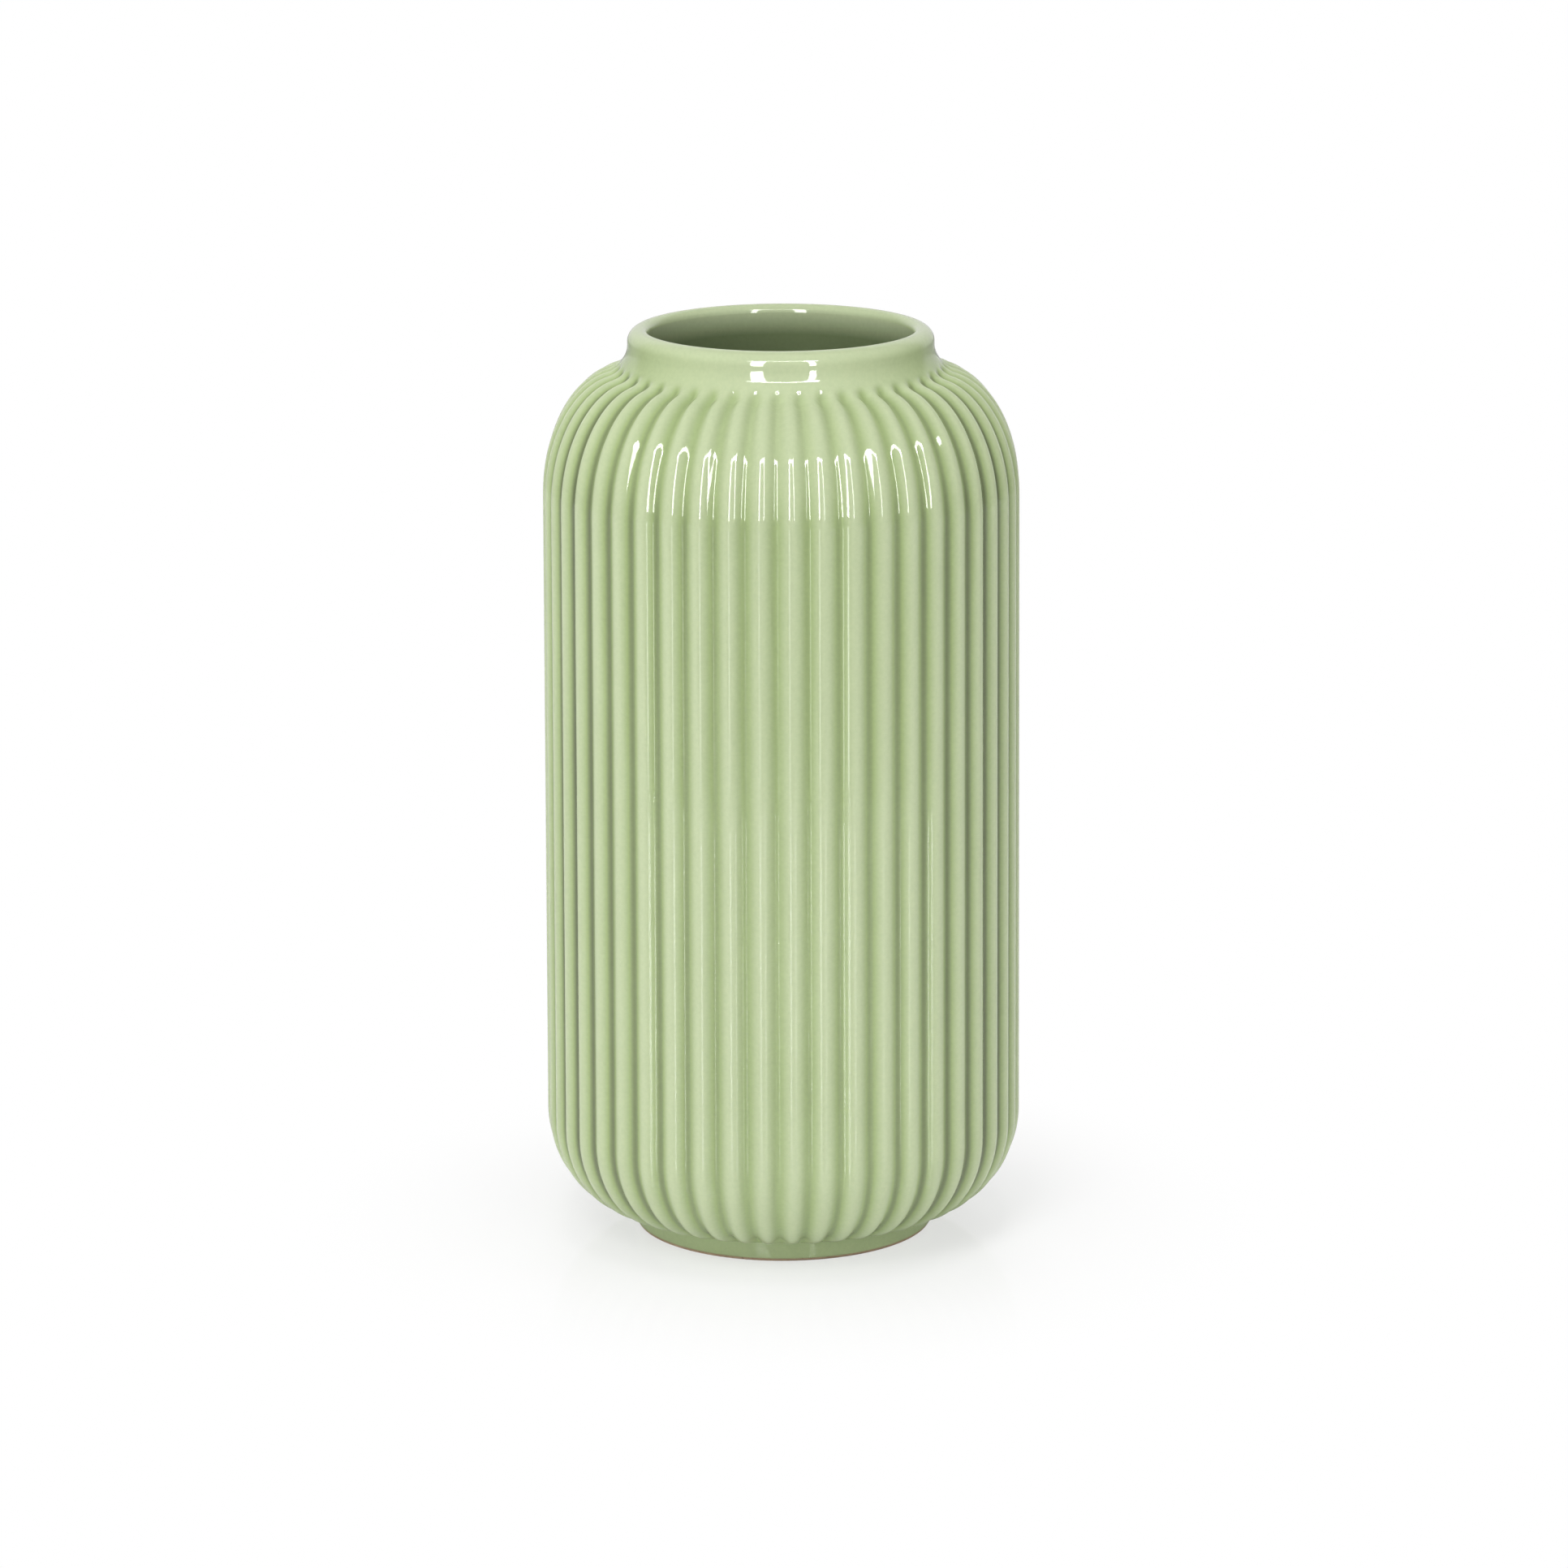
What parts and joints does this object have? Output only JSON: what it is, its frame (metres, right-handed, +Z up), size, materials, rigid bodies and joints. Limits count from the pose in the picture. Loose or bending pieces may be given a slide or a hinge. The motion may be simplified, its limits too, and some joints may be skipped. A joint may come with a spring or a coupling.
{
  "type": "vase",
  "caption": "Upright cylindrical glazed vase with vertical flutes, a rounded shoulder, a short plain collar with a rounded lip and a small foot ring.",
  "frame": {"origin": "centre of the foot on the table", "axes": "+Z up along the axis of the vase, -Y towards the side that the picture shows, +X to that side's right"},
  "size_m": [0.1302, 0.1302, 0.25],
  "materials": {
    "bare_clay": "unglazed fired stoneware, wiped clean",
    "clay_body": "fired stoneware under glaze",
    "outer_glaze": "glossy sage green glaze, pooled darker in the flutes",
    "liner_glaze": "glossy sage green glaze",
    "base_glaze": "glossy sage green glaze"
  },
  "bodies": {
    "root": {"foot_ring": "bare_clay", "base_floor": "clay_body", "fluted_wall": "clay_body", "neck_collar": "clay_body", "outer_glaze": "outer_glaze", "liner_glaze": "liner_glaze", "base_glaze": "base_glaze"}
  },
  "joints": []
}
